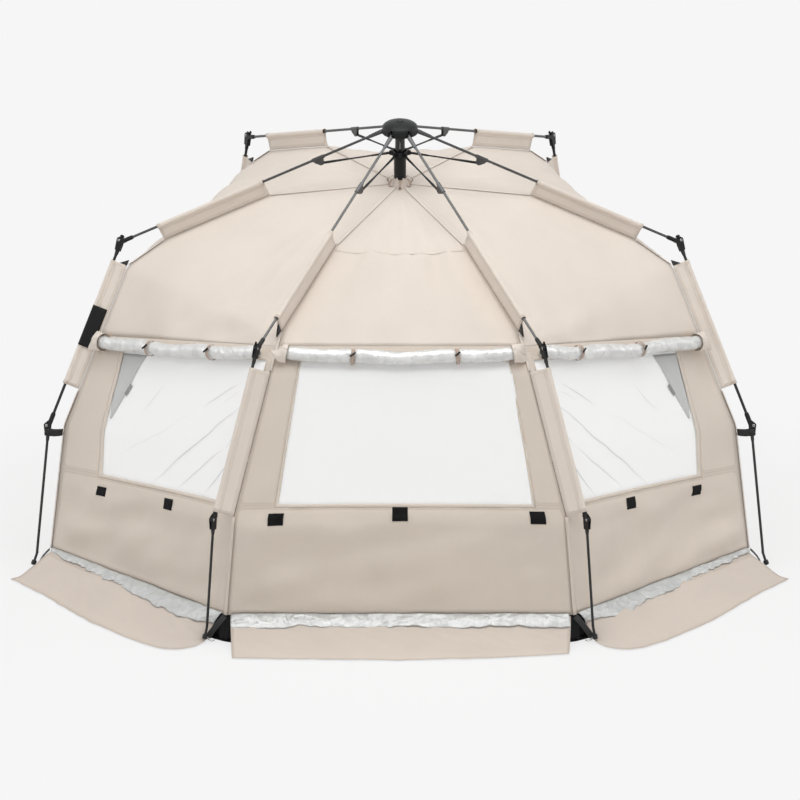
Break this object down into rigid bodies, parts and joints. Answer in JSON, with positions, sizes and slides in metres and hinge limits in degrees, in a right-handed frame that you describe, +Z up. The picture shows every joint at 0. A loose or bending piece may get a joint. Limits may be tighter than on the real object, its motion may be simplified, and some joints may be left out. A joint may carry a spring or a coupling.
{
  "type": "beach tent",
  "caption": "Hexagonal pop-up beach tent: umbrella-style hub, folding arms and jointed legs carry a sand-coloured canopy with mesh windows, rolled covers and ground flaps.",
  "frame": {"origin": "point of the ground sheet's underside straight below the middle of the hub", "axes": "+Z up, -Y towards the front window, +X to the right as seen from the front"},
  "size_m": [2.9402, 2.5002, 1.6855],
  "materials": {
    "black_plastic": "satin",
    "post_black": "satin",
    "grey_steel": "satin",
    "dark_steel": "satin",
    "white_mesh": "matte",
    "silver_cloth": "satin",
    "black_sheet": "matte",
    "sand_cloth": "matte"
  },
  "bodies": {
    "tent": {"hub_cap": "black_plastic", "hub_body": "black_plastic", "post_tube": "post_black", "roof_back_right": "sand_cloth", "roof_back": "sand_cloth", "roof_back_left": "sand_cloth", "roof_front_left": "sand_cloth", "roof_front": "sand_cloth", "roof_front_right": "sand_cloth", "wall_back_right": "sand_cloth", "wall_back": "sand_cloth", "wall_back_left": "sand_cloth", "wall_front_left": "sand_cloth", "wall_front": "sand_cloth", "wall_front_right": "sand_cloth", "window_front_left": "white_mesh", "window_front": "white_mesh", "window_front_right": "white_mesh", "roll_front_left": "silver_cloth", "roll_front": "silver_cloth", "roll_front_right": "silver_cloth", "ground_sheet": "black_sheet"},
    "runner": {"runner": "black_plastic"},
    "arm_left": {"arm_left": "grey_steel", "shoulder_joint_left": "black_plastic"},
    "strut_left": {"strut_left": "dark_steel"},
    "middle_left": {"middle_pole_left": "grey_steel", "knee_joint_left": "black_plastic"},
    "lower_left": {"lower_leg_left": "grey_steel"},
    "arm_right": {"arm_right": "grey_steel", "shoulder_joint_right": "black_plastic"},
    "strut_right": {"strut_right": "dark_steel"},
    "middle_right": {"middle_pole_right": "grey_steel", "knee_joint_right": "black_plastic"},
    "lower_right": {"lower_leg_right": "grey_steel"},
    "arm_back_right": {"arm_back_right": "grey_steel", "shoulder_joint_back_right": "black_plastic"},
    "strut_back_right": {"strut_back_right": "dark_steel"},
    "middle_back_right": {"middle_pole_back_right": "grey_steel", "knee_joint_back_right": "black_plastic"},
    "lower_back_right": {"lower_leg_back_right": "grey_steel"},
    "arm_back_left": {"arm_back_left": "grey_steel", "shoulder_joint_back_left": "black_plastic"},
    "strut_back_left": {"strut_back_left": "dark_steel"},
    "middle_back_left": {"middle_pole_back_left": "grey_steel", "knee_joint_back_left": "black_plastic"},
    "lower_back_left": {"lower_leg_back_left": "grey_steel"},
    "arm_front_left": {"arm_front_left": "grey_steel", "shoulder_joint_front_left": "black_plastic"},
    "strut_front_left": {"strut_front_left": "dark_steel"},
    "middle_front_left": {"middle_pole_front_left": "grey_steel", "knee_joint_front_left": "black_plastic"},
    "lower_front_left": {"lower_leg_front_left": "grey_steel"},
    "arm_front_right": {"arm_front_right": "grey_steel", "shoulder_joint_front_right": "black_plastic"},
    "strut_front_right": {"strut_front_right": "dark_steel"},
    "middle_front_right": {"middle_pole_front_right": "grey_steel", "knee_joint_front_right": "black_plastic"},
    "lower_front_right": {"lower_leg_front_right": "grey_steel"}
  },
  "joints": [
    {"name": "fold_left", "type": "hinge", "parent": "tent", "child": "arm_left", "pos_m": [-0.05383, 0.00421, 1.64552], "axis": [-0.0785, -0.9895, -0.1215], "range_deg": [0, 55], "deforming": ["roof_back_right", "roof_back", "roof_back_left", "roof_front_left", "roof_front", "roof_front_right", "wall_back_right", "wall_back", "wall_back_left", "wall_front_left", "wall_front", "wall_front_right", "window_front_left", "window_front", "window_front_right", "roll_front_left", "roll_front", "roll_front_right"]},
    {"name": "shoulder_left", "type": "hinge", "parent": "arm_left", "child": "middle_left", "pos_m": [-1.04637, 0.14386, 1.18569], "axis": [0.2938, 0.883, -0.3661], "range_deg": [0, 213.36]},
    {"name": "knee_left", "type": "hinge", "parent": "middle_left", "child": "lower_left", "pos_m": [-1.31949, -0.0452, 0.52177], "axis": [-0.1189, 0.968, -0.2212], "range_deg": [0, 194.17]},
    {"name": "strut_left", "type": "hinge", "parent": "runner", "child": "strut_left", "pos_m": [-0.03589, 0.01377, 1.55601], "axis": [-0.0785, -0.9895, -0.1215], "range_deg": [0, 70.37]},
    {"name": "fold_right", "type": "hinge", "parent": "tent", "child": "arm_right", "pos_m": [0.05383, 0.00421, 1.64552], "axis": [-0.0785, 0.9895, 0.1215], "range_deg": [0, 55]},
    {"name": "shoulder_right", "type": "hinge", "parent": "arm_right", "child": "middle_right", "pos_m": [1.04637, 0.14386, 1.18569], "axis": [0.2938, -0.883, 0.3661], "range_deg": [0, 213.36]},
    {"name": "knee_right", "type": "hinge", "parent": "middle_right", "child": "lower_right", "pos_m": [1.31949, -0.0452, 0.52177], "axis": [-0.1189, -0.968, 0.2212], "range_deg": [0, 194.17]},
    {"name": "strut_right", "type": "hinge", "parent": "runner", "child": "strut_right", "pos_m": [0.03589, 0.01377, 1.55601], "axis": [-0.0785, 0.9895, 0.1215], "range_deg": [0, 70.37]},
    {"name": "fold_back_right", "type": "hinge", "parent": "tent", "child": "arm_back_right", "pos_m": [0.02901, 0.0452, 1.65055], "axis": [-0.8434, 0.5333, 0.0655], "range_deg": [0, 55]},
    {"name": "shoulder_back_right", "type": "hinge", "parent": "arm_back_right", "child": "middle_back_right", "pos_m": [0.58577, 0.96008, 1.38224], "axis": [0.8569, -0.5151, 0.0218], "range_deg": [0, 227.31]},
    {"name": "knee_back_right", "type": "hinge", "parent": "middle_back_right", "child": "lower_back_right", "pos_m": [0.70221, 1.12046, 0.60529], "axis": [0.8436, -0.5368, 0.0153], "range_deg": [0, 193.07]},
    {"name": "strut_back_right", "type": "hinge", "parent": "runner", "child": "strut_back_right", "pos_m": [0.01934, 0.0411, 1.55937], "axis": [-0.8434, 0.5333, 0.0655], "range_deg": [0, 70.36]},
    {"name": "fold_back_left", "type": "hinge", "parent": "tent", "child": "arm_back_left", "pos_m": [-0.02901, 0.0452, 1.65055], "axis": [-0.8434, -0.5333, -0.0655], "range_deg": [0, 55]},
    {"name": "shoulder_back_left", "type": "hinge", "parent": "arm_back_left", "child": "middle_back_left", "pos_m": [-0.58577, 0.96008, 1.38224], "axis": [0.8569, 0.5151, -0.0218], "range_deg": [0, 227.31]},
    {"name": "knee_back_left", "type": "hinge", "parent": "middle_back_left", "child": "lower_back_left", "pos_m": [-0.70221, 1.12046, 0.60529], "axis": [0.8436, 0.5368, -0.0153], "range_deg": [0, 193.07]},
    {"name": "strut_back_left", "type": "hinge", "parent": "runner", "child": "strut_back_left", "pos_m": [-0.01934, 0.0411, 1.55937], "axis": [-0.8434, -0.5333, -0.0655], "range_deg": [0, 70.36]},
    {"name": "fold_front_left", "type": "hinge", "parent": "tent", "child": "arm_front_left", "pos_m": [-0.0268, -0.04653, 1.63929], "axis": [0.8682, -0.4925, -0.0605], "range_deg": [0, 55]},
    {"name": "shoulder_front_left", "type": "hinge", "parent": "arm_front_left", "child": "middle_front_left", "pos_m": [-0.51689, -0.83866, 1.05094], "axis": [-0.8735, 0.48, 0.0814], "range_deg": [0, 201.2]},
    {"name": "knee_front_left", "type": "hinge", "parent": "middle_front_left", "child": "lower_front_left", "pos_m": [-0.67499, -1.02454, 0.46276], "axis": [-0.8256, 0.5627, 0.0426], "range_deg": [0, 197.06]},
    {"name": "strut_front_left", "type": "hinge", "parent": "runner", "child": "strut_front_left", "pos_m": [-0.01786, -0.02005, 1.55186], "axis": [0.8682, -0.4925, -0.0605], "range_deg": [0, 70.38]},
    {"name": "fold_front_right", "type": "hinge", "parent": "tent", "child": "arm_front_right", "pos_m": [0.0268, -0.04653, 1.63929], "axis": [0.8682, 0.4925, 0.0605], "range_deg": [0, 55]},
    {"name": "shoulder_front_right", "type": "hinge", "parent": "arm_front_right", "child": "middle_front_right", "pos_m": [0.51689, -0.83866, 1.05094], "axis": [-0.8735, -0.48, -0.0814], "range_deg": [0, 201.2]},
    {"name": "knee_front_right", "type": "hinge", "parent": "middle_front_right", "child": "lower_front_right", "pos_m": [0.67499, -1.02454, 0.46276], "axis": [-0.8256, -0.5627, -0.0426], "range_deg": [0, 197.06]},
    {"name": "strut_front_right", "type": "hinge", "parent": "runner", "child": "strut_front_right", "pos_m": [0.01786, -0.02005, 1.55186], "axis": [0.8682, 0.4925, 0.0605], "range_deg": [0, 70.38]},
    {"name": "runner_slide", "type": "slide", "parent": "tent", "child": "runner", "axis": [0, -0.1219, 0.9925], "range_m": [0, 0.067]}
  ],
  "couplings": [
    {"joint": "shoulder_left", "follows": "fold_left", "ratio": 3.8792},
    {"joint": "strut_left", "follows": "fold_left", "ratio": 1.2792},
    {"joint": "fold_right", "follows": "fold_left", "ratio": 1},
    {"joint": "shoulder_right", "follows": "fold_left", "ratio": 3.8792},
    {"joint": "strut_right", "follows": "fold_left", "ratio": 1.2792},
    {"joint": "fold_back_right", "follows": "fold_left", "ratio": 1},
    {"joint": "shoulder_back_right", "follows": "fold_left", "ratio": 4.1329},
    {"joint": "strut_back_right", "follows": "fold_left", "ratio": 1.279},
    {"joint": "fold_back_left", "follows": "fold_left", "ratio": 1},
    {"joint": "shoulder_back_left", "follows": "fold_left", "ratio": 4.1329},
    {"joint": "strut_back_left", "follows": "fold_left", "ratio": 1.279},
    {"joint": "fold_front_left", "follows": "fold_left", "ratio": 1},
    {"joint": "shoulder_front_left", "follows": "fold_left", "ratio": 3.6581},
    {"joint": "strut_front_left", "follows": "fold_left", "ratio": 1.2795},
    {"joint": "fold_front_right", "follows": "fold_left", "ratio": 1},
    {"joint": "shoulder_front_right", "follows": "fold_left", "ratio": 3.6581},
    {"joint": "strut_front_right", "follows": "fold_left", "ratio": 1.2795},
    {"joint": "runner_slide", "follows": "fold_left", "m_per_rad": 0.069276}
  ]
}
